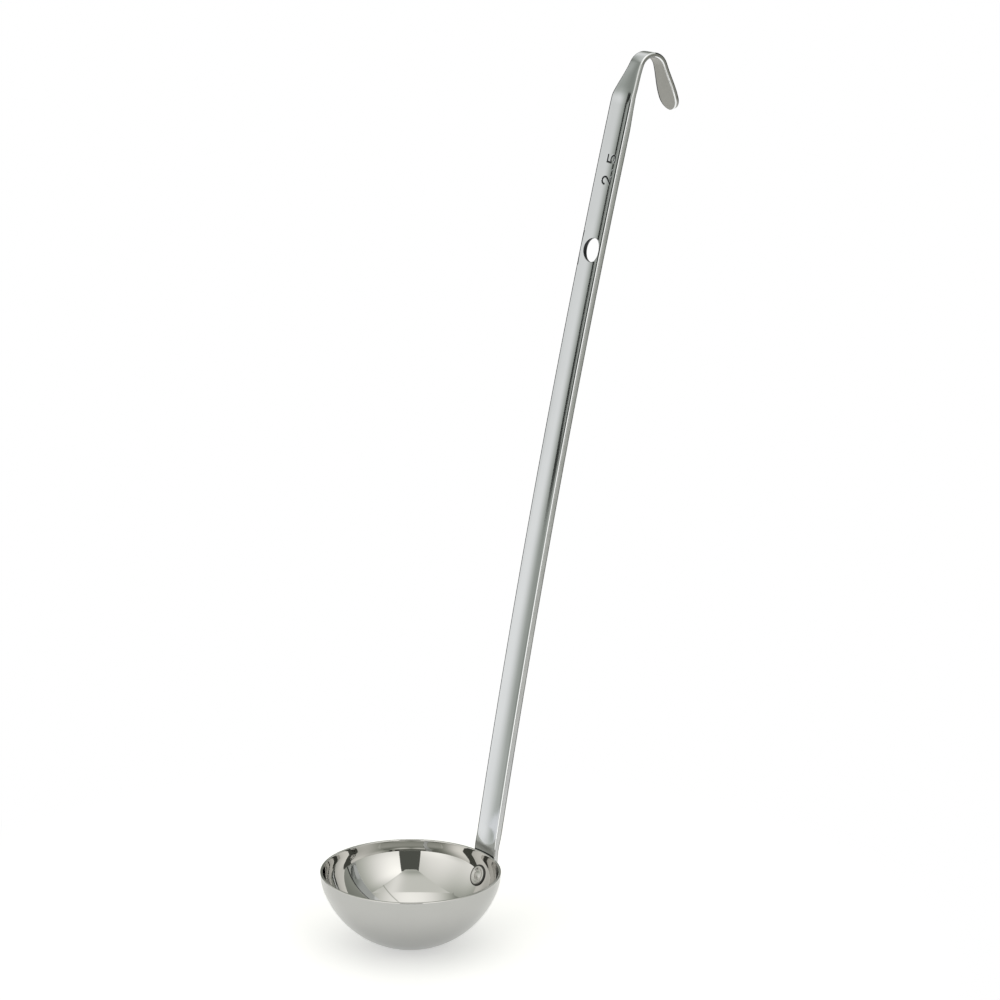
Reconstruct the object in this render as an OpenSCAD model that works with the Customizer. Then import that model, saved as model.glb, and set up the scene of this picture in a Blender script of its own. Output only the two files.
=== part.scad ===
// Soup ladle: a pressed bowl, a channelled strip handle with a hook, and the rivet that joins them.
// Origin at the centre of the bowl's mouth, +Z up along the bowl's axis, +X toward the handle.

/* [Bowl] */
// Outer diameter of the rim
bowl_d = 72; // [60:1:95]
// How much larger the radius of the lower bowl's ball is than the rim's, on their outsides
ball_over = 1.2; // [0.8:0.1:4]
// Height of the ball's centre above the rim
ball_up = 6.1; // [4.5:0.1:7]
// Thickness of the bowl's wall
bowl_wall = 1; // [0.7:0.1:1.6]
// Lean of the upright band below the rim, in degrees
band_lean = 5; // [3:0.5:8]
// Radius that blends the upright band into the ball
band_blend = 18; // [15:1:25]

/* [Handle] */
// Length of the channelled strip, from the rim's height to the bend below the hook
reach = 307.5; // [180:0.5:360]
// Lean of the strip at the rim, in degrees from upright
lean_foot = 9.6; // [8:0.1:12]
// Lean of the strip below the hook, in degrees from upright
lean_top = 13.9; // [12.5:0.1:18]
// Width of the strip
strip_w = 13.6; // [12:0.1:18]
// How much wider the foot is than the strip
foot_flare = 0.6; // [0.4:0.1:3]
// Gauge of the strip where it is flat, at the foot and round the hook
gauge = 1.9; // [1.4:0.1:2.4]
// Depth of the channelled strip, front lips to back
channel_depth = 2.7; // [2.6:0.1:3.6]
// Thickness left behind the trough
web = 1.2; // [1:0.1:1.4]
// Width of each lip beside the trough
lip_w = 1.3; // [1:0.1:2]
// Length over which the channel thins to the flat gauge below the hook
fade = 14; // [8:1:60]
// Height over which the trough runs out above the foot
foot_runout = 11; // [8:0.5:20]

/* [Hook] */
// Lean of the strip as it rises into the hook, in degrees from upright
neck_lean = 26.8; // [20:0.1:30]
// Length of the flat neck between the bend and the hook
neck = 12.2; // [8:0.1:16]
// Radius of the hook on its outside
hook_r = 7.3; // [6:0.1:12]
// Lean of the hook's tongue, in degrees from upright
tongue_lean = 18.9; // [10:0.1:30]
// Length of the hook's tongue
tongue = 19.1; // [15:0.1:30]
// Width of the strip round the hook
hook_w = 7.3; // [6:0.1:10]
// Width of the tongue at its round end
tongue_w = 10.9; // [9:0.1:12]

/* [Hang hole] */
// Diameter of the hole
hole_d = 9.5; // [6:0.1:10.4]
// Distance of its centre below the bend under the hook, along the strip
hole_drop = 60.5; // [25:0.5:120]

/* [Rivet] */
// Depth of the rivet's centre below the rim
rivet_down = 9.5; // [8:0.1:12]
// Diameter of the shank
shank_d = 4; // [3:0.1:5]
// Diameter of the head inside the bowl
head_d = 8.8; // [7:0.1:10]
// Height of the head inside the bowl
head_h = 0.9; // [0.6:0.1:1.6]
// Diameter of the closed end behind the foot
tail_d = 6.8; // [6:0.1:9]
// Height of the closed end behind the foot
tail_h = 1; // [0.8:0.1:1.6]

/* [Fits] */
// Gap between the foot and the bowl
seat_gap = 0.15; // [0.1:0.05:0.3]
// Gap under each rivet head
head_gap = 0.05; // [0.05:0.05:0.2]
// Gap round the rivet's shank
shank_gap = 0.1; // [0.05:0.05:0.2]

/* [Hidden] */
$fn = 96;
// How far a cutter passes the face that it cuts
over = 1;
// How far a cut that goes right through the strip reaches to each side of it
through = 10;
// Height of the foot's pad above the rim
foot_top = 7;
// Length over which the trough runs out below the bend
head_runout = 12;
// Radius of the bend below the hook
bend_r = 12;
// Length over which the tongue starts to widen
tongue_ease = 2;
bow_steps = 16;
bend_steps = 4;
hook_steps = 24;

rim_r = bowl_d / 2;
ball_r = rim_r + ball_over;
foot_w = strip_w + foot_flare;
// The band's line and the ball's centre, measured square to the band
band_set = rim_r * cos(band_lean);
ball_set = -ball_up * sin(band_lean);
// Angle below level at which the blend meets the ball
ball_turn = band_lean + acos((band_set - ball_set - band_blend) / (ball_r - band_blend));
blend_x = (ball_r - band_blend) * cos(ball_turn);
blend_z = ball_up - (ball_r - band_blend) * sin(ball_turn);

function arc(x, z, r, from, to, n) = [for (i = [0:n]) let (a = from + (to - from) * i / n)
    [x + r * cos(a), z + r * sin(a)]];
function band_x(off, z) = (band_set + off + z * sin(band_lean)) / cos(band_lean);
// Bowl outline at a distance outside its outer face, from the lowest point up to the rim's height
function bowl_line(off) = concat(
    arc(0, ball_up, ball_r + off, -90, -ball_turn, 28),
    arc(blend_x, blend_z, band_blend + off, -ball_turn, -band_lean, 6),
    [[band_x(off, 0), 0]]);
function reversed(line) = [for (i = [len(line) - 1:-1:0]) line[i]];

// The front of the strip: lips flush with the foot's edges at the rim's height
front_x = sqrt(pow(rim_r + seat_gap, 2) - pow(strip_w / 2, 2));
bow_r = reach / (lean_top - lean_foot) * 180 / PI;
function bow_point(s) = let (a = lean_foot + s / bow_r * 180 / PI)
    [front_x + bow_r * (cos(lean_foot) - cos(a)), bow_r * (sin(a) - sin(lean_foot)), a];
// A point a distance on along a stretch that turns from its own heading
function onward(p, long, turn) = abs(turn) < 0.001
    ? [p[0] + long * sin(p[2]), p[1] + long * cos(p[2]), p[2]]
    : let (r = long / turn * 180 / PI, a = p[2] + turn)
        [p[0] + r * (cos(p[2]) - cos(a)), p[1] + r * (sin(a) - sin(p[2])), a];
function along_turn(p, r, turn, n) = [for (i = [1:n]) onward(p, r * turn * PI / 180 * i / n, turn * i / n)];

bow_end = bow_point(reach);
bend_points = along_turn(bow_end, bend_r, neck_lean - lean_top, bend_steps);
neck_end = onward(bend_points[bend_steps - 1], neck, 0);
hook_points = along_turn(neck_end, hook_r, 180 - tongue_lean - neck_lean, hook_steps);
hook_end = hook_points[hook_steps - 1];
tip = onward(hook_end, tongue, 0);
crest_x = neck_end[0] + hook_r * cos(neck_lean);
crest_z = neck_end[1] + hook_r * (1 - sin(neck_lean));

function depth(s) = s < reach - fade ? channel_depth
    : channel_depth + (gauge - channel_depth) * (s - reach + fade) / fade;
function back(p, d) = [p[0] + d * cos(p[2]), p[1] - d * sin(p[2])];
bow_stations = [for (i = [0:bow_steps]) reach * i / bow_steps];
flat_points = concat(bend_points, [neck_end], hook_points, [tip]);

// Depth of the trough's floor below the lips: the foot's dish at the rim, and nothing at the bend
foot_dish = rim_r + seat_gap - front_x;
function trough_depth(s) = s < foot_runout
    ? foot_dish + (channel_depth - web - foot_dish) * s / foot_runout
    : (depth(s) - web) * min(1, (reach - s) / head_runout);
trough_stations = concat([0, foot_runout],
    [for (s = bow_stations) if (s > foot_runout && s < reach - head_runout) s],
    [reach - head_runout, reach]);

// The rivet's axis runs through the ball's centre
rivet_turn = asin((rivet_down + ball_up) / ball_r);

module bowl_solid(off) {
    rotate_extrude() polygon(concat(bowl_line(off), [[0, 0]]));
}

module on_rivet_axis(from) {
    translate([0, 0, ball_up]) rotate([0, 90 + rivet_turn, 0]) translate([0, 0, from]) children();
}

module bowl() {
    color("gainsboro") difference() {
        rotate_extrude() polygon(concat(bowl_line(0), reversed(bowl_line(-bowl_wall))));
        on_rivet_axis(0) cylinder(d = shank_d + 2 * shank_gap, h = ball_r + over);
    }
}

// Strip seen from the side, with its hook, before it is cut to width
module side_plate() {
    front = concat([for (s = bow_stations) bow_point(s)], flat_points);
    rear = concat([for (s = bow_stations) back(bow_point(s), depth(s))],
        [for (p = flat_points) back(p, gauge)]);
    rotate([90, 0, 0]) linear_extrude(strip_w + 2 * over, center = true)
        polygon(concat([for (p = front) [p[0], p[1]]], reversed(rear)));
}

module from_front(long) {
    rotate([90, 0, 90]) linear_extrude(long) children();
}

// Outlines seen from the front: the strip up to the hook's crest, and the tongue beyond it
module width_cut() {
    rise_top = crest_z + over;
    taper_z = bow_end[1];
    from_front(crest_x) polygon([[-strip_w / 2, -over], [strip_w / 2, -over], [strip_w / 2, taper_z],
        [hook_w / 2, neck_end[1]], [hook_w / 2, rise_top], [-hook_w / 2, rise_top],
        [-hook_w / 2, neck_end[1]], [-strip_w / 2, taper_z]]);
    round_z = tip[1] + tongue_w / 2;
    wide_z = round_z + tongue_ease;
    narrow_z = hook_end[1] - tongue_ease;
    translate([crest_x - over, 0, 0]) from_front(hook_r + tongue) {
        polygon([[-tongue_w / 2, round_z], [tongue_w / 2, round_z], [tongue_w / 2, wide_z],
            [hook_w / 2, narrow_z], [hook_w / 2, rise_top], [-hook_w / 2, rise_top],
            [-hook_w / 2, narrow_z], [-tongue_w / 2, wide_z]]);
        translate([0, round_z]) circle(d = tongue_w);
    }
}

// Room in front of the trough's floor
module trough() {
    below_rim = onward(bow_point(0), -over, 0);
    floor_line = [for (t = trough_stations) back(bow_point(t), trough_depth(t))];
    front_line = [for (t = [reach, 0]) back(bow_point(t), -through)];
    rotate([90, 0, 0]) linear_extrude(strip_w - 2 * lip_w, center = true)
        polygon(concat([back(below_rim, foot_dish)], floor_line, front_line, [back(below_rim, -through)]));
}

// Pad that follows the bowl's outside and rises a little above the rim
module foot_blank() {
    pad = seat_gap + gauge;
    intersection() {
        rotate_extrude() polygon(concat(bowl_line(pad),
            [[band_x(pad, 0) + foot_top * tan(lean_foot), foot_top], [0, foot_top]]));
        translate([rim_r / 2, 0, 0]) from_front(rim_r) {
            translate([0, -rivet_down]) circle(d = foot_w);
            polygon([[-foot_w / 2, -rivet_down], [foot_w / 2, -rivet_down], [foot_w / 2, 0],
                [strip_w / 2, foot_top], [-strip_w / 2, foot_top], [-foot_w / 2, 0]]);
        }
    }
}

// The bowl with its gap, going on above the rim at the strip's lean
module bowl_room() {
    rotate_extrude() polygon(concat(bowl_line(seat_gap),
        [[band_x(seat_gap, 0) + foot_top * tan(lean_foot), foot_top], [0, foot_top]]));
}

module hang_hole() {
    p = bow_point(reach - hole_drop);
    translate([p[0], 0, p[1]]) rotate([0, 90 + p[2], 0])
        cylinder(d = hole_d, h = 2 * through, center = true);
}

module handle() {
    color("silver") difference() {
        union() {
            intersection() {
                side_plate();
                width_cut();
            }
            foot_blank();
        }
        trough();
        bowl_room();
        hang_hole();
        on_rivet_axis(0) cylinder(d = shank_d + 2 * shank_gap, h = ball_r + through);
    }
}

// Shank from the middle of one head to the middle of the other, and both heads shaped to what they press on
module rivet() {
    color("darkgray") {
        on_rivet_axis(ball_r - bowl_wall - head_h / 2)
            cylinder(d = shank_d, h = bowl_wall + gauge + seat_gap + head_h / 2 + tail_h / 2);
        intersection() {
            on_rivet_axis(ball_r - bowl_wall - head_h) cylinder(d = head_d, h = head_h + over);
            bowl_solid(-bowl_wall - head_gap);
        }
        difference() {
            on_rivet_axis(ball_r + gauge - over)
                cylinder(d = tail_d, h = over + tail_h + seat_gap);
            bowl_solid(seat_gap + gauge + head_gap);
        }
    }
}

bowl();
handle();
rivet();
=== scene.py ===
from math import acos, asin, atan2, cos, hypot, pi, radians, sin, sqrt

import bmesh
import bpy
from mathutils import Matrix, Vector


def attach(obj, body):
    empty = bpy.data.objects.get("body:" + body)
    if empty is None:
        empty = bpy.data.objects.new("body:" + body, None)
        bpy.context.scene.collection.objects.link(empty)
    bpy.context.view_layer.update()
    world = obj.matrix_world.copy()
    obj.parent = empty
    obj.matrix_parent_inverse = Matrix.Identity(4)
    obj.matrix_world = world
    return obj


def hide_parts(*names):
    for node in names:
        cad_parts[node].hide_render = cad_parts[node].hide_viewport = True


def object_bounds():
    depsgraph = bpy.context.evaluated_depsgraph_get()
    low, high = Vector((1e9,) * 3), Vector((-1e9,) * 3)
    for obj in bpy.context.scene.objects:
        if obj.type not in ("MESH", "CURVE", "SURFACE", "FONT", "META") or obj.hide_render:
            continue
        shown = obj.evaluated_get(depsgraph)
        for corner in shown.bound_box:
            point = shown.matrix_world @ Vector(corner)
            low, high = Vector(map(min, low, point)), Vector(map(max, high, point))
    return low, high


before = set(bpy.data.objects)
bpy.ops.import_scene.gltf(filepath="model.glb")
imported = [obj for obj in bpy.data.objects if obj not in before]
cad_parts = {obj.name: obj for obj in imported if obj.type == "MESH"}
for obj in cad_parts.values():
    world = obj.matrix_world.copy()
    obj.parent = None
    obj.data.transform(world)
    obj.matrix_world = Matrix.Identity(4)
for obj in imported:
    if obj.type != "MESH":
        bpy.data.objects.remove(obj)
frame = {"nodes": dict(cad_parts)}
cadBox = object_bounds()
print("frame loaded:", ", ".join(frame["nodes"]))

mm = 0.001
tiny = 1e-9  # taken as nothing


def lineArc(cx, cz, r, fromAngle, toAngle, n):
    angles = [fromAngle + (toAngle - fromAngle) * i / n for i in range(n + 1)]
    return [(cx + r * cos(a), cz + r * sin(a)) for a in angles]


def smooth(x, low, high):
    u = min(1.0, max(0.0, (x - low) / (high - low)))
    return u * u * (3 - 2 * u)


def meshPiece(name, verts, faces, steels, looks):
    # looks has one name out of steels for each face
    mesh = bpy.data.meshes.new(name)
    mesh.from_pydata([Vector(v) * mm for v in verts], [], faces)
    mesh.update()
    piece = bpy.data.objects.new(name, mesh)
    bpy.context.scene.collection.objects.link(piece)
    for steel in steels:
        mesh.materials.append(steelMaterial(steel))
    for p, look in zip(mesh.polygons, looks):
        p.use_smooth = True
        p.material_index = steels.index(look)
    return piece


def turnOutward(piece):
    bm = bmesh.new()
    bm.from_mesh(piece.data)
    bmesh.ops.recalc_face_normals(bm, faces=bm.faces)
    bm.to_mesh(piece.data)
    bm.free()


def lathe(line, turns):
    # revolves a line about Z; points on the axis become one vertex
    verts, rings, faces = [], [], []
    for x, z in line:
        if abs(x) < tiny:
            rings.append([len(verts)])
            verts.append((0, 0, z))
            continue
        rings.append(list(range(len(verts), len(verts) + turns)))
        verts += [(x * cos(2 * pi * k / turns), x * sin(2 * pi * k / turns), z) for k in range(turns)]
    for low, high in zip(rings, rings[1:]):
        for k in range(turns):
            n = (k + 1) % turns
            if len(low) == 1:
                faces.append((low[0], high[n], high[k]))
            elif len(high) == 1:
                faces.append((low[k], low[n], high[0]))
            else:
                faces.append((low[k], low[n], high[n], high[k]))
    return verts, faces


# the part of a noise's range that counts, and its fineness
noise = {"span": (0.3, 0.7), "grainDetail": 4.0, "cloudDetail": 3.0}

# steel: one grain drawn out along an axis, one cloud of slow change, both in object space
finishes = {
    "bowlPolish": {
        "colour": ((0.60, 0.595, 0.575), (0.65, 0.645, 0.625)),
        "roughness": (0.02, 0.04),
        "grainScale": (90, 90, 60),
        "grainShare": 0.2,
        "cloudScale": 60.0,
        "bump": 0.01,
        "bumpDepth": 0.0002,
    },
    "bowlSatin": {
        "colour": ((0.435, 0.435, 0.425), (0.48, 0.48, 0.47)),
        # painted shade: the colour the outside greys to towards the bottom, and the heights over which it
        # does
        "low": (0.33, 0.335, 0.325),
        "lowFrom": (-0.031, -0.006),
        "roughness": (0.2, 0.27),
        "grainScale": (250, 250, 1600),
        "grainShare": 0.35,
        "cloudScale": 45.0,
        "bump": 0.05,
        "bumpDepth": 0.0001,
    },
    "stripFace": {
        "colour": ((0.565, 0.585, 0.605), (0.61, 0.63, 0.65)),
        "roughness": (0.07, 0.13),
        "grainScale": (1500, 1500, 60),
        "grainShare": 0.5,
        "cloudScale": 70.0,
        "bump": 0.05,
        "bumpDepth": 0.0001,
    },
    # painted highlight: a much brighter steel along the lip's rounding and the tongue's edge, standing in
    # for the bright line of reflected light there
    "lipHighlight": {
        "colour": ((0.80, 0.815, 0.825), (0.86, 0.875, 0.885)),
        "roughness": (0.06, 0.12),
        "grainScale": (1500, 1500, 60),
        "grainShare": 0.5,
        "cloudScale": 70.0,
        "bump": 0.05,
        "bumpDepth": 0.0001,
    },
    "stripFoot": {
        "colour": ((0.45, 0.47, 0.46), (0.57, 0.59, 0.58)),
        "roughness": (0.3, 0.42),
        "grainScale": (700, 700, 500),
        "grainShare": 0.5,
        "cloudScale": 420.0,
        "bump": 0.14,
        "bumpDepth": 0.0002,
    },
    "stripEdge": {
        "colour": ((0.47, 0.475, 0.475), (0.58, 0.585, 0.585)),
        "roughness": (0.2, 0.3),
        "grainScale": (900, 900, 300),
        "grainShare": 0.6,
        "cloudScale": 260.0,
        "bump": 0.12,
        "bumpDepth": 0.0002,
    },
    "stripBack": {
        "colour": ((0.255, 0.255, 0.24), (0.335, 0.335, 0.315)),
        "roughness": (0.3, 0.42),
        "grainScale": (700, 700, 350),
        "grainShare": 0.7,
        "cloudScale": 220.0,
        "bump": 0.2,
        "bumpDepth": 0.0002,
    },
    # painted shade: near-black steel laid on the hole's bore, in the stamped strokes, on the foot next to
    # the rim and as thin lines along the outline, standing in for shade and dark reflections there
    "paintedShade": {
        "colour": ((0.02, 0.022, 0.024), (0.05, 0.053, 0.056)),
        "roughness": (0.35, 0.5),
        "grainScale": (900, 900, 900),
        "grainShare": 0.6,
        "cloudScale": 500.0,
        "bump": 0.2,
        "bumpDepth": 0.0002,
    },
    # painted shade: near-black steel on the rivet head's rounded edge and side, standing in for the shade
    # and dark reflection round the head
    "rivetSideShade": {
        "colour": ((0.05, 0.05, 0.047), (0.10, 0.10, 0.095)),
        "roughness": (0.25, 0.4),
        "grainScale": (900, 900, 900),
        "grainShare": 0.6,
        "cloudScale": 700.0,
        "bump": 0.2,
        "bumpDepth": 0.0003,
    },
    "rivetSatin": {
        "colour": ((0.52, 0.515, 0.495), (0.64, 0.635, 0.615)),
        "roughness": (0.1, 0.2),
        "grainScale": (900, 900, 900),
        "grainShare": 0.6,
        "cloudScale": 700.0,
        "bump": 0.2,
        "bumpDepth": 0.0003,
    },
}


def newMaterial(name):
    m = bpy.data.materials.new(name)
    m.use_nodes = True
    nodes = m.node_tree.nodes
    nodes.clear()
    out = nodes.new("ShaderNodeOutputMaterial")
    shader = nodes.new("ShaderNodeBsdfPrincipled")
    m.node_tree.links.new(shader.outputs[0], out.inputs[0])
    return m, nodes, m.node_tree.links, shader


def calc(tree, op, *values):
    node = tree.nodes.new("ShaderNodeMath")
    node.operation = op
    for i, v in enumerate(values):
        if isinstance(v, (int, float)):
            node.inputs[i].default_value = v
        else:
            tree.links.new(v, node.inputs[i])
    return node.outputs[0]


def bell(tree, x, centre, width):
    # 1 at the centre, dying away over the width
    off = calc(tree, "DIVIDE", calc(tree, "SUBTRACT", x, centre), width)
    return calc(tree, "EXPONENT", calc(tree, "MULTIPLY", calc(tree, "MULTIPLY", off, off), -0.5))


def ramp(tree, x, low, high, start=0.0, end=1.0):
    node = tree.nodes.new("ShaderNodeMapRange")
    node.interpolation_type = "SMOOTHSTEP"
    for key, v in (("From Min", low), ("From Max", high), ("To Min", start), ("To Max", end)):
        node.inputs[key].default_value = v
    tree.links.new(x, node.inputs["Value"])
    return node.outputs["Result"]


def pick(tree, test, yes, no):
    # yes where the test is 1, no where it is 0
    node = tree.nodes.new("ShaderNodeMix")
    for key, v in (("Factor", test), ("A", no), ("B", yes)):
        if isinstance(v, (int, float)):
            node.inputs[key].default_value = v
        else:
            tree.links.new(v, node.inputs[key])
    return node.outputs["Result"]


def steelMaterial(name):
    look = finishes[name]
    m, nodes, links, shader = newMaterial(name)
    shader.inputs["Metallic"].default_value = 1.0
    coord = nodes.new("ShaderNodeTexCoord")
    stretch = nodes.new("ShaderNodeMapping")
    stretch.inputs["Scale"].default_value = look["grainScale"]
    links.new(coord.outputs["Object"], stretch.inputs[0])
    grain = nodes.new("ShaderNodeTexNoise")
    grain.inputs["Scale"].default_value = 1.0
    grain.inputs["Detail"].default_value = noise["grainDetail"]
    links.new(stretch.outputs[0], grain.inputs["Vector"])
    cloud = nodes.new("ShaderNodeTexNoise")
    cloud.inputs["Scale"].default_value = look["cloudScale"]
    cloud.inputs["Detail"].default_value = noise["cloudDetail"]
    links.new(coord.outputs["Object"], cloud.inputs["Vector"])
    both = nodes.new("ShaderNodeMath")
    both.operation = "MULTIPLY_ADD"
    both.inputs[1].default_value = look["grainShare"]
    links.new(grain.outputs["Fac"], both.inputs[0])
    links.new(cloud.outputs["Fac"], both.inputs[2])
    rough = nodes.new("ShaderNodeMapRange")
    rough.inputs["From Min"].default_value = noise["span"][0]
    rough.inputs["From Max"].default_value = noise["span"][1] + look["grainShare"]
    rough.inputs["To Min"].default_value = look["roughness"][0]
    rough.inputs["To Max"].default_value = look["roughness"][1]
    links.new(both.outputs[0], rough.inputs["Value"])
    links.new(rough.outputs["Result"], shader.inputs["Roughness"])
    tone = nodes.new("ShaderNodeMix")
    tone.data_type = "RGBA"
    tone.inputs["A"].default_value = (*look["colour"][0], 1)
    tone.inputs["B"].default_value = (*look["colour"][1], 1)
    links.new(cloud.outputs["Fac"], tone.inputs["Factor"])
    colour = tone.outputs["Result"]
    if "low" in look:
        # painted shade: the metal's colour greys towards the bottom, standing in for the darker reflection
        # of the shadowed floor there
        height = nodes.new("ShaderNodeSeparateXYZ")
        links.new(coord.outputs["Object"], height.inputs[0])
        paintedLowShade = nodes.new("ShaderNodeMix")
        paintedLowShade.data_type = "RGBA"
        paintedLowShade.inputs["B"].default_value = (*look["low"], 1)
        links.new(ramp(m.node_tree, height.outputs["Z"], *look["lowFrom"], 1.0, 0.0), paintedLowShade.inputs["Factor"])
        links.new(colour, paintedLowShade.inputs["A"])
        colour = paintedLowShade.outputs["Result"]
    links.new(colour, shader.inputs["Base Color"])
    bump = nodes.new("ShaderNodeBump")
    bump.inputs["Strength"].default_value = look["bump"]
    bump.inputs["Distance"].default_value = look["bumpDepth"]
    links.new(grain.outputs["Fac"], bump.inputs["Height"])
    links.new(bump.outputs["Normal"], shader.inputs["Normal"])
    return m


# the bowl's profile, shared by everything that sits on it
bowl = {
    "rimRadius": 36.0,
    "ballRadius": 37.2,
    "ballUp": 6.1,
    "wall": 1.0,
    "bandLean": 5.0,
    "bandBlend": 18.0,
    "rimRound": 0.32,
    "turns": 256,
    "ballSteps": 60,
    "blendSteps": 16,
    "bandSteps": 4,
    "rimSteps": 4,
}


def bandTurn():
    # angle below level at which the blend meets the ball
    b = bowl
    lean = radians(b["bandLean"])
    bandSet = b["rimRadius"] * cos(lean)
    ballSet = -b["ballUp"] * sin(lean)
    return lean + acos((bandSet - ballSet - b["bandBlend"]) / (b["ballRadius"] - b["bandBlend"]))


def bowlLine(off, top=0.0):
    # outline at a distance outside the outer face, from the lowest point up to a height
    b = bowl
    turn, lean = bandTurn(), radians(b["bandLean"])
    inset = b["ballRadius"] - b["bandBlend"]
    line = lineArc(0, b["ballUp"], b["ballRadius"] + off, -pi / 2, -turn, b["ballSteps"])
    blendX, blendZ = inset * cos(turn), b["ballUp"] - inset * sin(turn)
    line += lineArc(blendX, blendZ, b["bandBlend"] + off, -turn, -lean, b["blendSteps"])[1:]
    topX = (b["rimRadius"] * cos(lean) + off + top * sin(lean)) / cos(lean)
    lastX, lastZ = line[-1]
    n = b["bandSteps"]
    return line + [(lastX + (topX - lastX) * k / n, lastZ + (top - lastZ) * k / n) for k in range(1, n + 1)]


def makeBowl():
    outer = bowlLine(0.0, -bowl["rimRound"])
    inner = bowlLine(-bowl["wall"], -bowl["rimRound"])
    ox, ix, r = outer[-1][0], inner[-1][0], bowl["rimRound"]
    turned = [k * pi / 2 / bowl["rimSteps"] for k in range(1, bowl["rimSteps"] + 1)]
    land = [(ox - r + r * cos(a), -r + r * sin(a)) for a in turned]
    land += [(ix + r - r * cos(a), -r + r * sin(a)) for a in turned[::-1]]
    verts, faces = lathe(outer + land + inner[::-1], bowl["turns"])
    outerFaces = (len(outer) - 1) * bowl["turns"]
    looks = ["bowlSatin" if i < outerFaces else "bowlPolish" for i in range(len(faces))]
    piece = meshPiece("bowlShell", verts, faces, ("bowlPolish", "bowlSatin"), looks)
    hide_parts("bowl")
    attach(piece, "root")


strip = {
    "reach": 307.5,
    "leanFoot": 9.6,
    "leanTop": 13.9,
    "width": 13.6,
    "footWidth": 14.2,
    "gauge": 1.9,
    "depth": 2.7,
    "fade": 14.0,
    "lipRound": 0.5,
    "backRound": 0.85,
    "flatRound": 0.45,
    "bendRadius": 12.0,
    "neckLean": 26.8,
    "neck": 12.2,
    "hookRadius": 7.3,
    "tongueLean": 18.9,
    "tongue": 19.1,
    "hookWidth": 7.3,
    "tongueWidth": 10.9,
    "seatGap": 0.15,
    "skin": 0.004,  # keeps the open face off the CAD box
    # distances up the strip from the rim between which something comes or goes
    # painted shade on the foot from the rim up to this distance
    "shadeTo": 0.45,
    "dishEnds": (0.3, 3.6),
    "channelRise": (1.0, 10.0),
    "footTaper": (0.0, 8.0),
    "straightens": (-1.0, 4.0),
    "band": 2.5,  # how far the upright band reaches below the rim
    "hookTaper": 1.5,  # the narrowing starts this far below the bend and ends this far past the neck
    "tongueTaper": (1.0, 0.6),  # distance before the hook's end, and share of the width below the tip
    "columns": 100,
    "evenShare": 0.75,
    "arcSteps": 5,
    "roundShare": 0.3,  # largest share of the width that a rounding takes
    "leastWidth": 0.02,
    "walkStep": 0.05,
    "sharpAbove": 40.0,
    # faces over which the painted dark line wraps onto the tongue's back, and the sheared edge onto the lips
    "lineFaces": 3,
    "edgeFaces": 2,
}

# the pressed trough: slope of its face by distance in from the strip's edge, and where it runs out
trough = {
    "slopes": [(0.5, 0.0), (0.6, 0.31), (1.6, 0.31), (1.9, 0.23), (3.9, 0.19), (6.8, 0.0)],
    # how high its lower end lies in the middle, and how much higher towards the edges
    "footEnd": 3.9,
    "footSweep": 2.9,
    "footHalf": 6.3,
    "footPower": 2.2,
    "step": (0.12, 0.5),
    "runIn": 7.0,
    "deepens": [(7, 0.5), (22, 0.32), (38, 0.38), (55, 0.5), (98, 0.6), (138, 0.75), (175, 1)],
    "headEnd": (-2.5, 5.0),
    "neckShare": 0.35,
    "neckFade": 4.0,
}

hangHole = {
    "diameter": 9.5,
    "at": 247.0,
    "ease": 0.12,
    "backEase": 1.1,
    "zone": 7.2,
    # places of the rings round the hole: 1 at the zone's edge, 0 at the hole's
    "frontShares": (0.87, 0.62, 0.4, 0.25, 0.12, 0.0),
    "backShares": (0.0, 0.12, 0.25, 0.4, 0.6, 0.8),
    "arcSteps": 3,
}

rivetSizes = {
    "down": 9.5,
    "head": 8.8,
    "headHeight": 0.9,
    "shank": 4.0,
    "tail": 6.8,
    "tailHeight": 1.0,
    "headGap": 0.05,
    "edge": 0.3,
    "edgeDrop": 0.24,
    "edgeSteps": 6,
    "headRing": 0.75,
    "tailRings": (0.8, 0.4),
    "turns": 96,
    "sharpAbove": 38.0,
    # across the head from its middle: distance out, and how far it lies below the top
    "dish": [
        (0, 0.04), (0.7, 0.05), (1.1, 0.09), (1.8, 0.32), (2.1, 0.36),
        (2.4, 0.32), (3.0, 0.15), (3.3, 0.12), (3.7, 0.18),
    ],
}


def ballRise():
    return asin((rivetSizes["down"] + bowl["ballUp"]) / bowl["ballRadius"])


def bowPoint(s):
    # lip line of the channelled stretch: place and lean
    t = strip
    lean0 = radians(t["leanFoot"])
    r = t["reach"] / radians(t["leanTop"] - t["leanFoot"])
    a = lean0 + s / r
    x0 = sqrt((bowl["rimRadius"] + t["seatGap"]) ** 2 - (t["width"] / 2) ** 2)
    return x0 + r * (cos(lean0) - cos(a)), r * (sin(a) - sin(lean0)), a


def stripMarks():
    # distances along the strip at which it changes
    t = strip
    bend = t["bendRadius"] * radians(t["neckLean"] - t["leanTop"])
    neckEnd = t["reach"] + bend + t["neck"]
    hookEnd = neckEnd + t["hookRadius"] * radians(180 - t["tongueLean"] - t["neckLean"])
    blend = (bowl["bandBlend"] + t["seatGap"]) * (bandTurn() - radians(bowl["bandLean"]))
    ballAt = -t["band"] - blend
    rivetAt = ballAt - (bowl["ballRadius"] + t["seatGap"]) * (ballRise() - bandTurn())
    return {
        "band": -t["band"],
        "ball": ballAt,
        "rivet": rivetAt,
        "bend": t["reach"] + bend,
        "neck": neckEnd,
        "hook": hookEnd,
        "tip": hookEnd + t["tongue"],
    }


marks = stripMarks()


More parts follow.
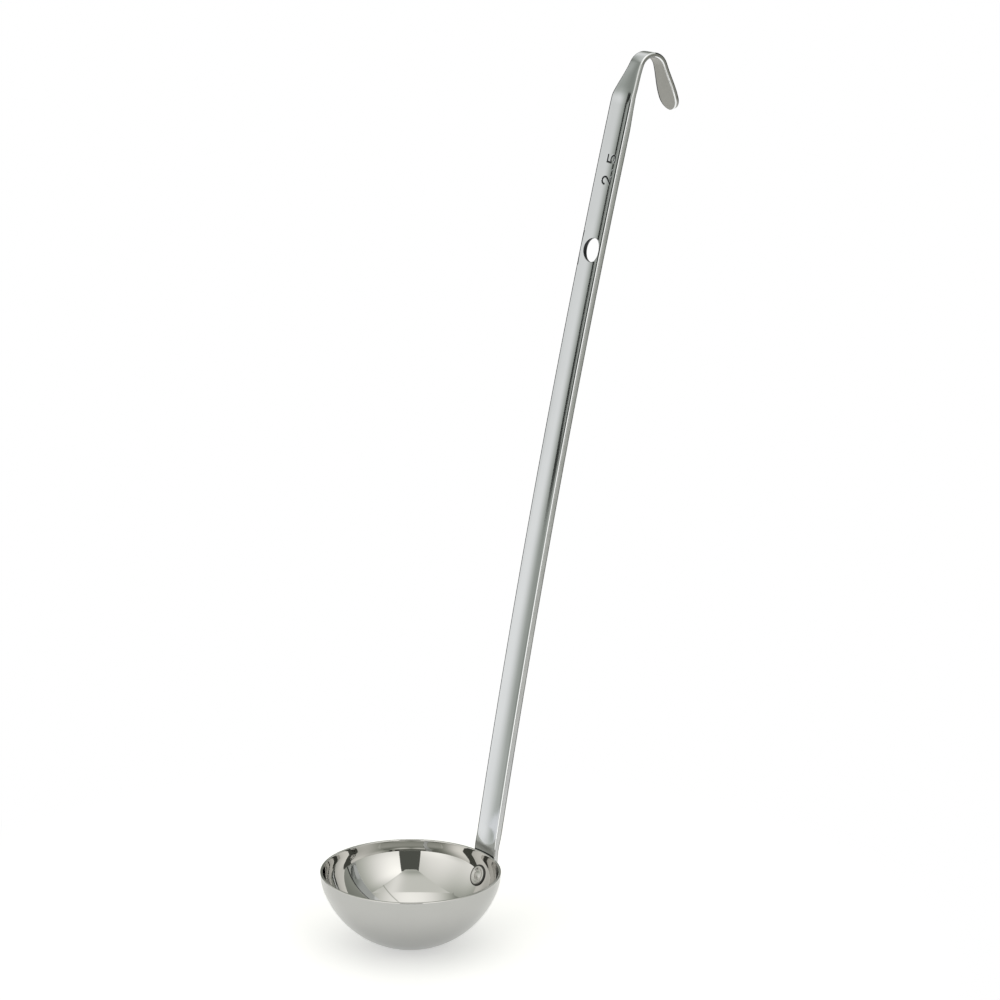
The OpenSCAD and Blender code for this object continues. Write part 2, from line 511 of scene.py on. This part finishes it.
def stripLean(s):
    t = strip
    lean0 = radians(bowl["bandLean"])
    if s < marks["ball"]:
        return bandTurn() + (marks["ball"] - s) / (bowl["ballRadius"] + t["seatGap"])
    if s < marks["band"]:
        return lean0 + (marks["band"] - s) / (bowl["bandBlend"] + t["seatGap"])
    low, high = t["straightens"]
    if s < high:
        return lean0 + (bowPoint(high)[2] - lean0) * smooth(s, low, high)
    if s < t["reach"]:
        return bowPoint(s)[2]
    if s < marks["neck"]:
        turned = min(1, (s - t["reach"]) / (marks["bend"] - t["reach"]))
        return radians(t["leanTop"] + turned * (t["neckLean"] - t["leanTop"]))
    return radians(t["neckLean"]) + min(s - marks["neck"], marks["hook"] - marks["neck"]) / t["hookRadius"]


def walkStrip(stops):
    # place and lean of the lip line at each stop, walked in small steps up and down from the bow's foot
    start = strip["straightens"][1]
    x0, z0, _ = bowPoint(start)
    places = {}
    for targets in ([s for s in stops if s >= start], [s for s in reversed(stops) if s < start]):
        x, z, s = x0, z0, start
        for goal in targets:
            n = max(1, int(abs(goal - s) / strip["walkStep"]))
            ds = (goal - s) / n
            for i in range(n):
                a = stripLean(s + ds * (i + 0.5))
                x += ds * sin(a)
                z += ds * cos(a)
            s = goal
            places[goal] = (x, z, stripLean(goal))
    return [places[s] for s in stops]


def stripWidth(s):
    t = strip
    w = t["footWidth"] + (t["width"] - t["footWidth"]) * smooth(s, *t["footTaper"])
    narrow = smooth(s, t["reach"] - t["hookTaper"], marks["neck"] + t["hookTaper"])
    w += (t["hookWidth"] - t["width"]) * narrow
    if s > marks["hook"]:
        before, share = t["tongueTaper"]
        wide = smooth(s, marks["hook"] - before, marks["tip"] - t["tongueWidth"] * share)
        w += (t["tongueWidth"] - t["hookWidth"]) * wide
    footR, tipR = t["footWidth"] / 2, t["tongueWidth"] / 2
    for past, r in ((marks["rivet"] - s, footR), (s - marks["tip"] + tipR, tipR)):
        if past > 0:
            w = min(w, 2 * sqrt(max(0.0, r * r - past * past)))
    return w


def channelShare(s):
    # 0 where the strip is flat, 1 where it is a full channel
    t = strip
    return smooth(s, *t["channelRise"]) * (1 - smooth(s, t["reach"] - t["fade"], t["reach"]))


def stripDepth(s):
    return strip["gauge"] + (strip["depth"] - strip["gauge"]) * channelShare(s)


def footDish(s, y, w):
    # the foot is dished to the ball, and the dish dies out above the rim
    r = bowl["ballRadius"] + strip["seatGap"]
    edge = sqrt(r * r - (w / 2) ** 2)
    return (sqrt(r * r - y * y) - edge) * (1 - smooth(s, *strip["dishEnds"]))


def troughShape(inward):
    # depth at a distance in from the strip's edge, added up from the slopes
    depth = 0.0
    for (w0, k0), (w1, k1) in zip(trough["slopes"], trough["slopes"][1:]):
        if inward <= w0:
            break
        w = min(inward, w1)
        k = k0 + (k1 - k0) * (w - w0) / (w1 - w0)
        depth += (k0 + k) / 2 * (w - w0)
    return depth


def troughStart(y):
    # the rounded end of the trough above the foot
    return trough["footEnd"] + trough["footSweep"] * abs(y / trough["footHalf"]) ** trough["footPower"]


def troughShare(s, y):
    # a crease where the trough starts, a slow run-in, and a slow run-out towards the bend
    end = troughStart(y)
    step, ease = trough["step"]
    low, high = trough["headEnd"]
    up = max(0.0, s - end)
    grown = 1.0
    if up < trough["runIn"]:
        grown = trough["deepens"][0][1] * sin(pi / 2 * up / trough["runIn"])
    else:
        for (s0, g0), (s1, g1) in zip(trough["deepens"], trough["deepens"][1:]):
            if up < s1:
                grown = g0 + (g1 - g0) * (up - s0) / (s1 - s0)
                break
    share = (1 - step) * grown + step * smooth(s, end - ease, end)
    share *= 1 - (1 - trough["neckShare"]) * smooth(s, strip["reach"] + low, strip["reach"] + high)
    fade = trough["neckFade"]
    return share * (1 - smooth(s, marks["neck"] - fade, marks["neck"] + fade))


# stamped figures: strokes in mm, x up the handle and y toward the far edge,
# from the figure's lower left corner
figures = {
    "depth": 0.22,
    # distances from the middle of a stroke
    "floor": 0.12,
    # painted shade within this distance of a stroke's middle
    "dark": 0.36,
    "stroke": 0.5,
    "strokes": [
        {
            "at": (273.3, -2.95),
            "line": [(0.1, 4.1)]
            + lineArc(1.55, 4.1, 1.45, radians(170), radians(-35), 14)
            + [(0.15, 0.1), (3.1, 0.1)],
        },
        {"at": (279.0, -2.8), "line": [(0.0, 0.0), (0.12, 0.0)]},
        {
            "at": (281.9, -3.2),
            "line": [(3.0, 5.2), (0.35, 5.2), (0.15, 2.75)]
            + lineArc(1.5, 1.65, 1.6, radians(140), radians(-140), 16),
        },
    ],
    "zones": [(272.7, 277.0), (278.4, 279.7), (281.4, 285.6)],
    "halfBand": 3.9,  # nothing is stamped farther than this from the strip's middle
    "far": 9.0,
}


def strokeLines():
    lines = []
    for f in figures["strokes"]:
        ax, ay = f["at"]
        lines.append([(ax + x, ay + y) for x, y in f["line"]])
    return lines


stamped = strokeLines()


def strokeNear(s, y):
    # distance to the nearest stroke, or far where there is none
    near = figures["far"]
    if abs(y) > figures["halfBand"] or not any(low <= s <= high for low, high in figures["zones"]):
        return near
    for line in stamped:
        for (x0, y0), (x1, y1) in zip(line, line[1:]):
            long = max(tiny, (x1 - x0) ** 2 + (y1 - y0) ** 2)
            u = min(1.0, max(0.0, ((s - x0) * (x1 - x0) + (y - y0) * (y1 - y0)) / long))
            near = min(near, hypot(s - x0 - u * (x1 - x0), y - y0 - u * (y1 - y0)))
    return near


def stampDepth(s, y):
    return figures["depth"] * (1 - smooth(strokeNear(s, y), figures["floor"], figures["stroke"]))


def frontDepth(s, y, w):
    share = troughShare(s, y)
    pressed = troughShape((w / 2 - abs(y)) * strip["width"] / w)
    return footDish(s, y, w) * (1 - share) + pressed * share + stampDepth(s, y)


def spread(k):
    # columns across the strip, closest together in the middle, where the figures are
    u, even = 2 * k / strip["columns"] - 1, strip["evenShare"]
    return even * u + (1 - even) * u ** 3


def roundings(s, w):
    t, most = strip, w * strip["roundShare"]
    lipR = min(t["lipRound"], most)
    backR = min(t["flatRound"] + (t["backRound"] - t["flatRound"]) * channelShare(s), most)
    return lipR, backR


def section(s):
    # points round the strip at a stop: (across, depth below the lips)
    w = max(stripWidth(s), strip["leastWidth"])
    lipR, backR = roundings(s, w)
    d, n, arcs = stripDepth(s), strip["columns"], strip["arcSteps"]
    span, backSpan = w / 2 - lipR, w / 2 - backR
    ring = [(span * spread(k), frontDepth(s, span * spread(k), w)) for k in range(n + 1)]
    corner = frontDepth(s, span, w)
    edgeDish = footDish(s, backSpan, w)
    steps = [k * pi / 2 / arcs for k in range(arcs + 1)]
    ring += [(span + lipR * sin(a), corner + lipR * (1 - cos(a))) for a in steps[1:]]
    ring += [(backSpan + backR * cos(a), d + edgeDish - backR * (1 - sin(a))) for a in steps]
    ring += [(backSpan * spread(k), d + footDish(s, backSpan * spread(k), w)) for k in range(n - 1, 0, -1)]
    ring += [(-backSpan - backR * cos(a), d + edgeDish - backR * (1 - sin(a))) for a in steps[::-1]]
    ring += [(-span - lipR * sin(a), corner + lipR * (1 - cos(a))) for a in steps[:0:-1]]
    return ring


# how far apart the sections of the strip are: close where it bends or changes, wider along the bow
spacing = {
    "foot": [(3.2, 0.6), (12, 0.3), (16, 1.0)],  # where a stretch ends, and the step in it
    "bow": 4.0,
    "hole": 0.6,
    "aboveHole": 3.0,
    "betweenFigures": 0.5,
    "figure": 0.12,
    # distances from the reach
    "belowBend": (-8, 2.0),
    "bend": (3, 0.4),
    "neck": 0.8,
    "hook": 0.35,
    "tongue": 0.6,
    "roundEndSteps": 18,
}


def stations():
    t, h, g = strip, hangHole, spacing
    tipCentre = marks["tip"] - t["tongueWidth"] / 2
    stretches = g["foot"] + [(h["at"] - h["zone"], g["bow"]), (h["at"] + h["zone"], g["hole"])]
    stretches.append((figures["zones"][0][0], g["aboveHole"]))
    for low, high in figures["zones"]:
        stretches += [(low, g["betweenFigures"]), (high, g["figure"])]
    stretches += [(t["reach"] + end, step) for end, step in (g["belowBend"], g["bend"])]
    stretches += [(marks["neck"], g["neck"]), (marks["hook"], g["hook"]), (tipCentre, g["tongue"])]
    ends = g["roundEndSteps"]
    fan = [sin(k * pi / 2 / ends) for k in range(ends + 1)]
    out = [marks["rivet"] - t["footWidth"] / 2 * u for u in fan[:0:-1]]
    at = marks["rivet"]
    for end, step in stretches:
        n = round((end - at) / step)
        out += [at + (end - at) * k / n for k in range(n)]
        at = end
    return out + [tipCentre + t["tongueWidth"] / 2 * u for u in fan]


def place(p, y, d):
    x, z, a = p
    d += strip["skin"]
    return (x + d * cos(a), y, z - d * sin(a))


def boreHole(verts, faces, looks, stops, size):
    # rings from the open edge in the front, through the bore, out to the open edge in the back
    h, w, n = hangHole, strip["width"], strip["columns"]
    low = min(range(len(stops)), key=lambda i: abs(stops[i] - h["at"] + h["zone"]))
    high = min(range(len(stops)), key=lambda i: abs(stops[i] - h["at"] - h["zone"]))
    lipR, backR = roundings(h["at"], w)
    backStart = n + 2 * strip["arcSteps"] + 1
    loop = [(low, k) for k in range(n)] + [(i, n) for i in range(low, high)]
    loop += [(high, k) for k in range(n, 0, -1)] + [(i, 0) for i in range(high, low, -1)]
    angles = [atan2((w / 2 - lipR) * spread(k), stops[i] - h["at"]) for i, k in loop]
    r, e, back, floor = h["diameter"] / 2, h["ease"], h["backEase"], stripDepth(h["at"])

    def ring(points, depthAt):
        first = len(verts)
        verts.extend(place(bowPoint(s), y, depthAt(s, y)) for s, y in points)
        return list(range(first, len(verts)))

    def faceRing(share, ease, span, depthAt):
        points = []
        for (i, k), a in zip(loop, angles):
            s = h["at"] + (r + ease) * cos(a) * (1 - share) + (stops[i] - h["at"]) * share
            points.append((s, (r + ease) * sin(a) * (1 - share) + span * spread(k) * share))
        return ring(points, depthAt)

    def boreRing(radius, depthAt):
        return ring([(h["at"] + radius * cos(a), radius * sin(a)) for a in angles], depthAt)

    def front(s, y):
        return frontDepth(s, y, w)

    rings = [[i * size + k for i, k in loop]]
    rings += [faceRing(share, e, w / 2 - lipR, front) for share in h["frontShares"]]
    turned = [k * pi / 2 / h["arcSteps"] for k in range(1, h["arcSteps"] + 1)]
    for a in turned:
        rings.append(boreRing(r + e * (1 - sin(a)), lambda s, y, a=a: front(s, y) + e * (1 - cos(a))))
    for a in turned[::-1]:
        rings.append(boreRing(r + back * (1 - sin(a)), lambda s, y, a=a: floor - back * (1 - cos(a))))
    rings += [faceRing(share, back, w / 2 - backR, lambda s, y: floor) for share in h["backShares"]]
    rings.append([i * size + backStart + (n - k) for i, k in loop])
    wallFrom = len(h["frontShares"])
    wallTo = wallFrom + 2 * h["arcSteps"] - 1
    for at, (a, b) in enumerate(zip(rings, rings[1:])):
        for j in range(len(loop)):
            m = (j + 1) % len(loop)
            faces.append((a[j], a[m], b[m], b[j]))
            # painted shade on the bore's wall and on the far outline in front of the hole
            farLine = at == 0 and loop[j][1] == loop[m][1] == n
            if farLine or wallFrom <= at < wallTo:
                looks.append("paintedShade")
            else:
                looks.append("stripFace" if at < wallFrom else "stripBack")
    return low, high, backStart


def lookAt(k, s, y):
    # finish of a face of the strip; k counts round the section, from the near lip across the front
    n, arcs = strip["columns"], strip["arcSteps"]
    lip, backEnd = n + arcs, n + 2 * arcs + 1
    left = backEnd + n
    nearLip = left + arcs
    inHook = s > marks["neck"]
    inTongue = s > (marks["neck"] + marks["hook"]) / 2
    # painted shade as a thin dark line along the outline, and a painted highlight along the tongue's edge
    if inTongue:
        if lip < k < backEnd + strip["lineFaces"] or k > nearLip:
            return "paintedShade"
        if left <= k < nearLip:
            return "lipHighlight"
    elif n - 1 <= k < lip:
        return "paintedShade"
    if left + 1 < k < nearLip - 1:
        return "paintedShade"
    if k < n:
        # painted shade on the foot just above the rim and in the stamped strokes
        if s < strip["shadeTo"] or strokeNear(s, y) < figures["dark"]:
            return "paintedShade"
        return "stripFoot" if s < troughStart(y) else "stripFace"
    edge = 0 if inHook else strip["edgeFaces"]
    # painted highlight on the lip's outer rounding
    if k < lip - edge or k > nearLip + edge:
        return "lipHighlight"
    if k <= lip or k >= nearLip:
        return "stripBack" if inHook else "stripEdge"
    inArc = k < backEnd or k >= left
    return "stripFace" if inArc and inHook else "stripBack"


def stripSolid():
    stops = stations()
    walked = walkStrip(stops)
    rings = [section(s) for s in stops]
    size, n = len(rings[0]), strip["columns"]
    verts = [place(p, y, d) for p, ring in zip(walked, rings) for y, d in ring]
    faces, looks = [], []
    low, high, backStart = boreHole(verts, faces, looks, stops, size)
    for i in range(len(stops) - 1):
        for k in range(size):
            inHole = low <= i < high and (k < n or backStart <= k < backStart + n)
            if not inHole:
                m = (k + 1) % size
                faces.append((i * size + k, i * size + m, (i + 1) * size + m, (i + 1) * size + k))
                y = (rings[i][k][0] + rings[i][m][0]) / 2
                looks.append(lookAt(k, (stops[i] + stops[i + 1]) / 2, y))
    faces.append(tuple(range(size - 1, -1, -1)))
    faces.append(tuple((len(stops) - 1) * size + k for k in range(size)))
    looks += ["stripEdge", "stripEdge"]
    return verts, faces, looks


def makeHandle():
    verts, faces, looks = stripSolid()
    steels = ("stripFace", "stripEdge", "stripBack", "paintedShade", "lipHighlight", "stripFoot")
    piece = meshPiece("handleStrip", verts, faces, steels, looks)
    turnOutward(piece)
    piece.data.set_sharp_from_angle(angle=radians(strip["sharpAbove"]))
    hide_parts("handle")
    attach(piece, "root")


def makeRivet():
    # lathed on its own axis, which runs through the ball's centre; both undersides follow the ball
    v, b = rivetSizes, bowl
    seat = b["ballRadius"] - b["wall"] - v["headGap"]
    back = b["ballRadius"] + strip["gauge"] + strip["seatGap"] + v["headGap"]
    top = b["ballRadius"] - b["wall"] - v["headHeight"]
    headR, tailR, e = v["head"] / 2, v["tail"] / 2, v["edge"]
    turned = [a * pi / 2 / v["edgeSteps"] for a in range(v["edgeSteps"] + 1)]
    wide, narrow = v["tailRings"]
    line = [(x, top + drop) for x, drop in v["dish"]]
    line += [(headR - e + e * sin(a), top + v["edgeDrop"] + e - e * cos(a)) for a in turned]
    sideFrom, sideTo = len(v["dish"]) - 1, len(line)
    line += [(x, sqrt(seat ** 2 - x * x)) for x in (headR, headR * v["headRing"], v["shank"] / 2)]
    line += [(x, sqrt(back ** 2 - x * x)) for x in (v["shank"] / 2, tailR * wide, tailR)]
    end = back + v["tailHeight"] - v["headGap"]
    line += [(tailR - e + e * cos(a), end - e + e * sin(a)) for a in turned]
    line += [(tailR * narrow, end), (0, end)]
    verts, faces = lathe(line, v["turns"])
    rings = [i // v["turns"] for i in range(len(faces))]
    # painted shade on the head's rounded edge and side
    looks = ["rivetSideShade" if sideFrom <= k < sideTo else "rivetSatin" for k in rings]
    piece = meshPiece("rivetBody", verts, faces, ("rivetSatin", "rivetSideShade"), looks)
    turnOutward(piece)
    turn = Matrix.Rotation(pi / 2 + ballRise(), 4, "Y")
    piece.data.transform(Matrix.Translation((0, 0, b["ballUp"] * mm)) @ turn)
    piece.data.set_sharp_from_angle(angle=radians(v["sharpAbove"]))
    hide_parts("rivet")
    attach(piece, "root")


cameraSetup = {
    "azimuth": 35.33,
    "elevation": 14.1,
    "roll": 0.587,
    "distance": 1277.0,
    "lens": 115.56,
    "sensor": 36.0,
    "imageSide": 1000,
    "mouthPixel": (410.66, 870.22),
    "clipStart": 0.01,
}


def makeCamera():
    # the mouth's centre, which is the origin, lands on its own pixel of the square picture
    c = cameraSetup
    az, el, roll = radians(c["azimuth"]), radians(c["elevation"]), radians(c["roll"])
    ahead = Vector((sin(az) * cos(el), cos(az) * cos(el), -sin(el)))
    level = Vector((cos(az), -sin(az), 0))
    upright = level.cross(ahead)
    right = cos(roll) * level + sin(roll) * upright
    up = cos(roll) * upright - sin(roll) * level
    focal = c["lens"] / c["sensor"] * c["imageSide"]
    px, py = c["mouthPixel"]
    across = (px - c["imageSide"] / 2) / focal * c["distance"]
    above = -(py - c["imageSide"] / 2) / focal * c["distance"]
    eye = -(right * across + up * above + ahead * c["distance"]) * mm
    cam = bpy.data.cameras.new("photoCamera")
    cam.lens = c["lens"]
    cam.sensor_width = c["sensor"]
    cam.clip_start = c["clipStart"]
    obj = bpy.data.objects.new("photoCamera", cam)
    turn = Matrix((right, up, -ahead)).transposed().to_4x4()
    obj.matrix_world = Matrix.Translation(eye) @ turn
    bpy.context.scene.collection.objects.link(obj)
    bpy.context.scene.camera = obj


# a white cloth tent round the table, as used for polished metal: lit walls, a lit roof, a slit at the front.
# bearings in degrees from the slit, clockwise seen from above; heights in degrees;
# places in the roof as offsets from overhead, 1 is 45 degrees
tent = {
    "radius": 3.0,
    "subdivisions": 6,
    "level": 1.19,
    "shade": 0.2,
    "frontBearing": 215.33,
    "wallsMeet": 3.0,
    "leastUp": 0.02,
    "leftWall": {"bearing": -38, "spread": 42, "glow": 1.0, "fall": 0.0095},
    "sideCard": {"bearing": -96, "spread": 14, "glow": 0.37, "top": (0, 48)},
    "sideGap": {"bearing": -62, "spread": 12, "glow": 0.26, "top": (3, 18)},
    # bearing, half width, and heights between which a post's foot fades in
    "posts": {
        "at": ((-127.0, 3.8, (-1.2, 0.4)), (-143.5, 5.0, (-13.0, -8.0))),
        "glow": 0.02,
        "top": (18, 23),
    },
    "postGap": {"bearing": -134.5, "spread": 3.0, "glow": 0.16},
    "rightWall": {
        "bearing": 22,
        "spread": 38,
        "glow": 0.72,
        "rise": 0.0105,
        "riseTop": 38,
        "dim": 0.35,
        "dimFrom": (40, 54),
    },
    "slit": {"from": -11.5, "to": 17, "top": 40, "glow": 0.1},
    "roof": {"bottom": 38, "glow": 1.1, "across": 0.75, "along": 0.75, "centre": 0.25},
    # hot and dip: place, spread, strength
    "roofFront": {
        "glow": 0.69,
        "edge": 0.40,
        "bow": 0.38,
        "bowOff": 0.03,
        "hot": (0.42, 0.14, 0.22),
        "dip": (1.15, 0.12, 0.25),
    },
    "roofBack": {"bearing": 90.0, "bottom": 42.0},
    # right and left: offset and slope
    "seams": {
        "right": (1.66, -1.70),
        "left": (1.544, 1.507),
        "line": 0.18,
        "lineWidth": 0.02,
        "lineSpan": (0.3, 0.8),
    },
    "fold": {"from": -0.055, "slope": 0.69, "width": 0.012, "depth": 0.5, "span": (0.15, 0.3, 0.7, 0.76)},
    "backWall": {"bearing": 155, "spread": 24, "height": 36, "tall": 8, "glow": 1.0},
    "ground": {"glow": 0.95, "from": (-18.0, -14.0)},
    "under": {"glow": 0.3, "from": 118, "soft": 16, "height": (-6.0, -4.0)},
    # colour of dim cloth and of bright cloth, and the glows they belong to
    "tints": ((0.95, 1.0, 0.88), (1.01, 1.0, 0.97)),
    "tintSpan": (0.1, 1.0),
}


def tentGlow(tree):
    # brightness of the cloth by its direction from the ladle's mouth
    t = tent

    def do(op, *values):
        return calc(tree, op, *values)

    def times(*values):
        return do("MULTIPLY", *values)

    def spot(x, part):
        return bell(tree, x, part["bearing"], part["spread"])

    where = tree.nodes.new("ShaderNodeTexCoord")
    unit = tree.nodes.new("ShaderNodeVectorMath")
    unit.operation = "NORMALIZE"
    tree.links.new(where.outputs["Object"], unit.inputs[0])
    parts = tree.nodes.new("ShaderNodeSeparateXYZ")
    tree.links.new(unit.outputs[0], parts.inputs[0])
    x, y, up = parts.outputs
    az = radians(t["frontBearing"])
    front = do("ADD", times(x, sin(az)), times(y, cos(az)))
    right = do("SUBTRACT", times(y, sin(az)), times(x, cos(az)))
    bearing = do("DEGREES", do("ARCTAN2", right, front))
    height = do("DEGREES", do("ARCSINE", up))
    over = do("MAXIMUM", up, t["leastUp"])
    across, along = do("DIVIDE", right, over), do("DIVIDE", front, over)

    w = t["leftWall"]
    fade = do("SUBTRACT", w["glow"], times(do("MAXIMUM", height, 0.0), w["fall"]))
    left = times(fade, spot(bearing, w))
    w = t["sideCard"]
    left = do("ADD", left, times(spot(bearing, w), ramp(tree, height, *w["top"], w["glow"], 0.0)))
    w = t["sideGap"]
    left = do("SUBTRACT", left, times(spot(bearing, w), ramp(tree, height, *w["top"], w["glow"], 0.0)))
    w = t["rightWall"]
    grow = do("ADD", w["glow"], times(do("MINIMUM", height, w["riseTop"]), w["rise"]))
    rightward = times(grow, spot(bearing, w))
    rightward = times(rightward, ramp(tree, height, *w["dimFrom"], 1.0, 1 - w["dim"]))
    wall = do("ADD", t["shade"], pick(tree, do("LESS_THAN", bearing, t["wallsMeet"]), left, rightward))
    w = t["slit"]
    inSlit = times(do("GREATER_THAN", bearing, w["from"]), do("LESS_THAN", bearing, w["to"]))
    wall = pick(tree, times(inSlit, do("LESS_THAN", height, w["top"])), w["glow"], wall)

    w = t["posts"]
    wall = do("ADD", wall, times(spot(bearing, t["postGap"]), t["postGap"]["glow"]))
    for at, half, foot in w["at"]:
        post = do("LESS_THAN", do("ABSOLUTE", do("SUBTRACT", bearing, at)), half)
        post = times(post, ramp(tree, height, *w["top"], 1.0, 0.0))
        wall = pick(tree, times(post, ramp(tree, height, *foot)), w["glow"], wall)

    w = t["roof"]
    pool = times(bell(tree, across, 0.0, w["across"]), bell(tree, along, w["centre"], w["along"]))
    pool = times(w["glow"], pool)
    f = t["roofFront"]
    face = do("ADD", f["glow"], times(f["hot"][2], bell(tree, across, f["hot"][0], f["hot"][1])))
    face = do("SUBTRACT", face, times(f["dip"][2], bell(tree, along, f["dip"][0], f["dip"][1])))
    off = do("ADD", across, f["bowOff"])
    edge = do("SUBTRACT", f["edge"], times(f["bow"], times(off, off)))
    roof = pick(tree, do("GREATER_THAN", along, edge), face, pool)
    seams = t["seams"]
    rightSeam = do("MULTIPLY_ADD", across, seams["right"][1], seams["right"][0])
    leftSeam = do("MULTIPLY_ADD", across, seams["left"][1], seams["left"][0])
    high = do("GREATER_THAN", height, w["bottom"])
    inRoof = times(high, times(do("LESS_THAN", along, rightSeam), do("LESS_THAN", along, leftSeam)))
    glow = pick(tree, inRoof, roof, wall)
    w = t["roofBack"]
    behind = do("GREATER_THAN", do("ABSOLUTE", bearing), w["bearing"])
    behind = times(behind, do("GREATER_THAN", height, w["bottom"]))
    glow = pick(tree, behind, do("MAXIMUM", pool, t["shade"]), glow)
    w = t["backWall"]
    card = times(spot(do("ABSOLUTE", bearing), w), bell(tree, height, w["height"], w["tall"]))
    glow = do("MAXIMUM", glow, times(card, w["glow"]))

    # a fold and a seam in the roof cloth
    fold = t["fold"]
    past = do("SUBTRACT", along, do("MULTIPLY_ADD", across, fold["slope"], fold["from"]))
    crease = bell(tree, past, 0.0, fold["width"])
    crease = times(crease, ramp(tree, across, *fold["span"][:2]))
    crease = times(crease, ramp(tree, across, *fold["span"][2:], 1.0, 0.0))
    glow = times(glow, do("SUBTRACT", 1.0, times(crease, fold["depth"])))
    stitch = times(bell(tree, do("SUBTRACT", along, rightSeam), 0.0, seams["lineWidth"]), high)
    lineFrom, lineTo = seams["lineSpan"]
    inLine = times(do("GREATER_THAN", across, lineFrom), do("LESS_THAN", across, lineTo))
    glow = times(glow, do("SUBTRACT", 1.0, times(times(stitch, inLine), seams["line"])))

    # the table's edge and the dark under it, at the back
    w = t["under"]
    low = ramp(tree, do("ABSOLUTE", bearing), w["from"], w["from"] + w["soft"])
    low = times(low, ramp(tree, height, *w["height"], 1.0, 0.0))
    glow = pick(tree, low, w["glow"], glow)
    # white cloth on the ground below it
    w = t["ground"]
    return pick(tree, ramp(tree, height, *w["from"], 1.0, 0.0), w["glow"], glow)


def makeTent():
    mesh = bpy.data.meshes.new("studioTent")
    bm = bmesh.new()
    bmesh.ops.create_icosphere(bm, subdivisions=tent["subdivisions"], radius=tent["radius"])
    bm.to_mesh(mesh)
    bm.free()
    obj = bpy.data.objects.new("studioTent", mesh)
    bpy.context.scene.collection.objects.link(obj)
    obj.visible_camera = False
    m = bpy.data.materials.new("tentCloth")
    m.use_nodes = True
    tree = m.node_tree
    tree.nodes.clear()
    glow = tentGlow(tree)
    cloth = tree.nodes.new("ShaderNodeMix")
    cloth.data_type = "RGBA"
    tree.links.new(ramp(tree, glow, *tent["tintSpan"]), cloth.inputs["Factor"])
    for key, c in zip(("A", "B"), tent["tints"]):
        cloth.inputs[key].default_value = (*c, 1)
    light = tree.nodes.new("ShaderNodeEmission")
    out = tree.nodes.new("ShaderNodeOutputMaterial")
    tree.links.new(cloth.outputs["Result"], light.inputs["Color"])
    tree.links.new(calc(tree, "MULTIPLY", glow, tent["level"]), light.inputs["Strength"])
    tree.links.new(light.outputs[0], out.inputs[0])
    m.cycles.emission_sampling = "NONE"
    mesh.materials.append(m)


table = {
    "radius": 0.26,
    "corners": 128,
    "colour": (0.86, 0.86, 0.85),
    "roughness": 0.9,
    "lift": 0.42,
    "blend": (0.11, 0.23),
}


def makeFloor():
    # white paper near the ladle, passing into the plain white of the background
    z, r, n = cadBox[0].z, table["radius"], table["corners"]
    mesh = bpy.data.meshes.new("studioFloor")
    ring = [(r * cos(2 * pi * k / n), r * sin(2 * pi * k / n), z) for k in range(n)]
    mesh.from_pydata(ring, [], [tuple(range(n))])
    floor = bpy.data.objects.new("studioFloor", mesh)
    bpy.context.scene.collection.objects.link(floor)
    m, nodes, links, shader = newMaterial("floorPaper")
    tree = m.node_tree
    shader.inputs["Roughness"].default_value = table["roughness"]
    shader.inputs["Specular IOR Level"].default_value = 0.0
    shader.inputs["Base Color"].default_value = (*table["colour"], 1)
    path = nodes.new("ShaderNodeLightPath")
    seen = calc(tree, "MAXIMUM", path.outputs["Is Camera Ray"], path.outputs["Is Glossy Ray"])
    seen = calc(tree, "MAXIMUM", seen, path.outputs["Is Transmission Ray"])
    where = nodes.new("ShaderNodeTexCoord")
    flat = nodes.new("ShaderNodeVectorMath")
    flat.operation = "LENGTH"
    links.new(where.outputs["Object"], flat.inputs[0])
    far = ramp(tree, flat.outputs["Value"], *table["blend"])
    lift = nodes.new("ShaderNodeEmission")
    links.new(calc(tree, "MULTIPLY", seen, table["lift"]), lift.inputs["Strength"])
    both = nodes.new("ShaderNodeAddShader")
    links.new(shader.outputs[0], both.inputs[0])
    links.new(lift.outputs[0], both.inputs[1])
    white = nodes.new("ShaderNodeEmission")
    mix = nodes.new("ShaderNodeMixShader")
    links.new(calc(tree, "MULTIPLY", far, seen), mix.inputs[0])
    links.new(both.outputs[0], mix.inputs[1])
    links.new(white.outputs[0], mix.inputs[2])
    links.new(mix.outputs[0], nodes["Material Output"].inputs[0])
    m.cycles.emission_sampling = "NONE"
    mesh.materials.append(m)


def makeWorld():
    world = bpy.data.worlds.new("studioWorld")
    world.use_nodes = True
    nodes, links = world.node_tree.nodes, world.node_tree.links
    nodes.clear()
    out = nodes.new("ShaderNodeOutputWorld")
    white = nodes.new("ShaderNodeBackground")
    white.inputs["Color"].default_value = (1, 1, 1, 1)
    links.new(white.outputs[0], out.inputs[0])
    bpy.context.scene.world = world


bpy.context.scene.view_settings.view_transform = "Standard"
makeCamera()
print("camera set")
makeBowl()
print("bowl made")
makeHandle()
print("handle made")
makeRivet()
print("rivet made")
makeTent()
makeFloor()
makeWorld()
print("studio set")
